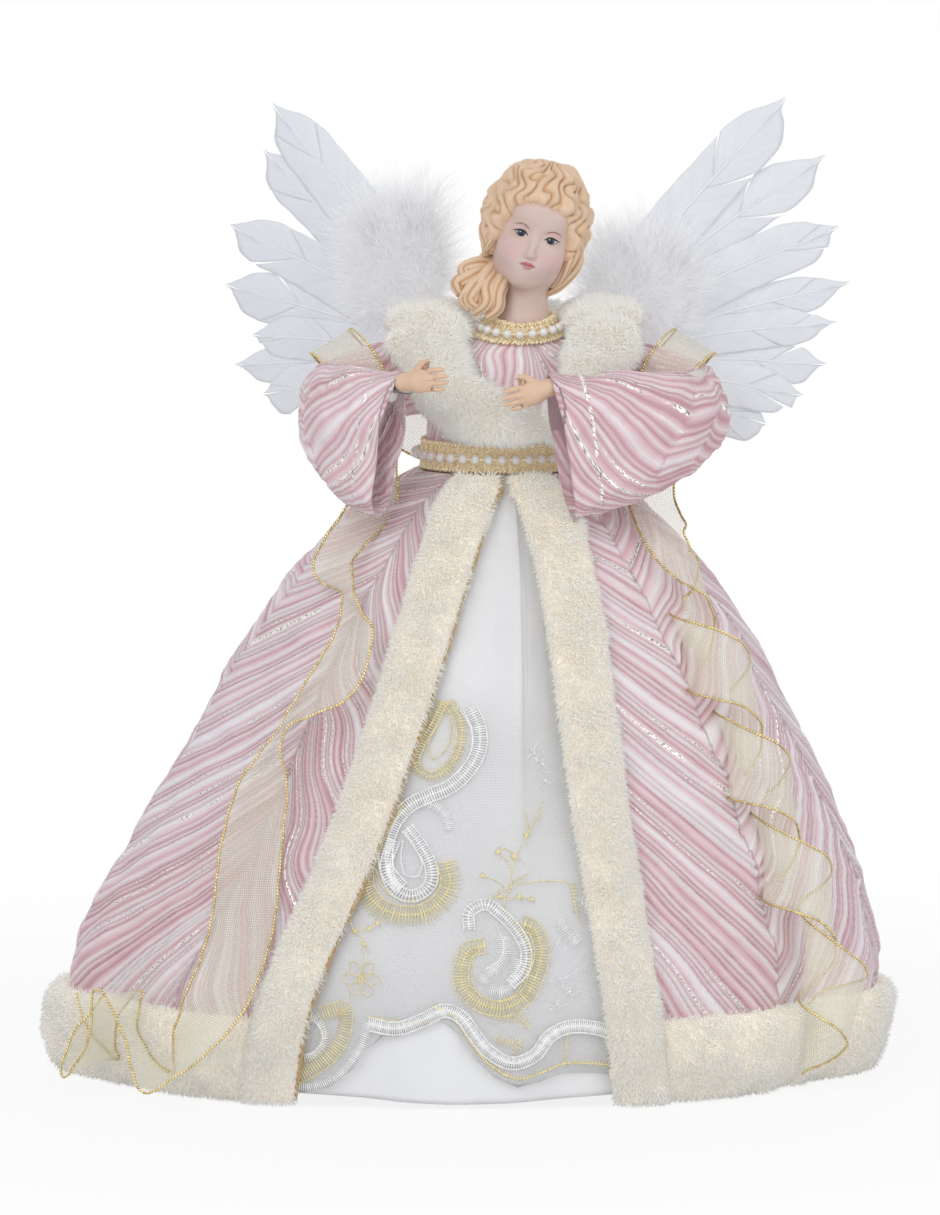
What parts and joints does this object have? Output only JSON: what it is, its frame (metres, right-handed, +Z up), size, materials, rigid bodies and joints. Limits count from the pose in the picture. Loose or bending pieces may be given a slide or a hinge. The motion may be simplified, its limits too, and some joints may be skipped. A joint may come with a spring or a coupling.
{
  "type": "angel tree topper",
  "caption": "Doll angel tree topper: hollow cone under a flared brocade gown with fur trim, bell sleeves on posable arms, fan-shaped feather wings that fold back, and draped ribbon.",
  "frame": {"origin": "on the floor, under the middle of the object's bounding box", "axes": "+Z up, the figure faces -Y, +X to the figure's left"},
  "size_m": [0.2834, 0.2148, 0.3172],
  "materials": {
    "white_plastic": "moulded, matt",
    "foam": "white foam",
    "bisque": "moulded resin, matt, painted face",
    "hand_bisque": "moulded resin, matt",
    "blond": "moulded, painted blond",
    "brocade": "pink and white woven brocade with silver thread",
    "satin": "white satin, soft sheen",
    "lace": "sheer white cloth with gold and white embroidery",
    "fur": "cream plush fur",
    "gold_braid": "woven metallic gold thread",
    "pearl": "pearl lustre",
    "feather": "white goose feathers and down",
    "card": "white felt",
    "wire": "plain steel wire",
    "ribbon": "sheer gold organza with gold wired edges"
  },
  "bodies": {
    "gown": {"inner_cone": "white_plastic", "torso_core": "foam", "bodice": "brocade", "bust": "bisque", "hair": "blond", "waist_braid": "gold_braid", "waist_pearls": "pearl", "neck_braid": "gold_braid", "neck_pearls": "pearl", "overskirt": "brocade", "satin_underskirt": "satin", "lace_apron": "lace", "fur_strip_right": "fur", "fur_strip_left": "fur", "fur_hem": "fur", "fur_lapel_right": "fur", "fur_lapel_left": "fur", "fur_collar": "fur", "wing_mount_card": "card", "ribbon_back": "ribbon", "ribbon_fall_right": "ribbon", "ribbon_fall_left": "ribbon"},
    "arm_left": {"sleeve_left": "brocade", "arm_wire_left": "wire", "arm_padding_left": "card", "hand_left": "hand_bisque", "ribbon_arm_left": "ribbon"},
    "arm_right": {"sleeve_right": "brocade", "arm_wire_right": "wire", "arm_padding_right": "card", "hand_right": "hand_bisque", "ribbon_arm_right": "ribbon"},
    "wing_left": {"wing_card_left": "card", "feather_left_1": "feather", "feather_left_2": "feather", "feather_left_3": "feather", "feather_left_4": "feather", "feather_left_5": "feather", "feather_left_6": "feather", "feather_left_7": "feather", "feather_left_8": "feather", "down_left": "feather"},
    "wing_right": {"wing_card_right": "card", "feather_right_1": "feather", "feather_right_2": "feather", "feather_right_3": "feather", "feather_right_4": "feather", "feather_right_5": "feather", "feather_right_6": "feather", "feather_right_7": "feather", "down_right": "feather"}
  },
  "joints": [
    {"name": "arm_left_raise", "type": "hinge", "parent": "gown", "child": "arm_left", "pos_m": [0.0402, 0, 0.23], "axis": [-1, 0, 0], "range_deg": [0, 40]},
    {"name": "arm_right_raise", "type": "hinge", "parent": "gown", "child": "arm_right", "pos_m": [-0.0118, 0, 0.23], "axis": [-1, 0, 0], "range_deg": [0, 40]},
    {"name": "wing_left_fold", "type": "hinge", "parent": "gown", "child": "wing_left", "pos_m": [0.02178, 0.02185, 0.227], "axis": [0, 0, 1], "range_deg": [0, 30]},
    {"name": "wing_right_fold", "type": "hinge", "parent": "gown", "child": "wing_right", "pos_m": [0.00578, 0.02185, 0.227], "axis": [0, 0, -1], "range_deg": [0, 30]}
  ]
}
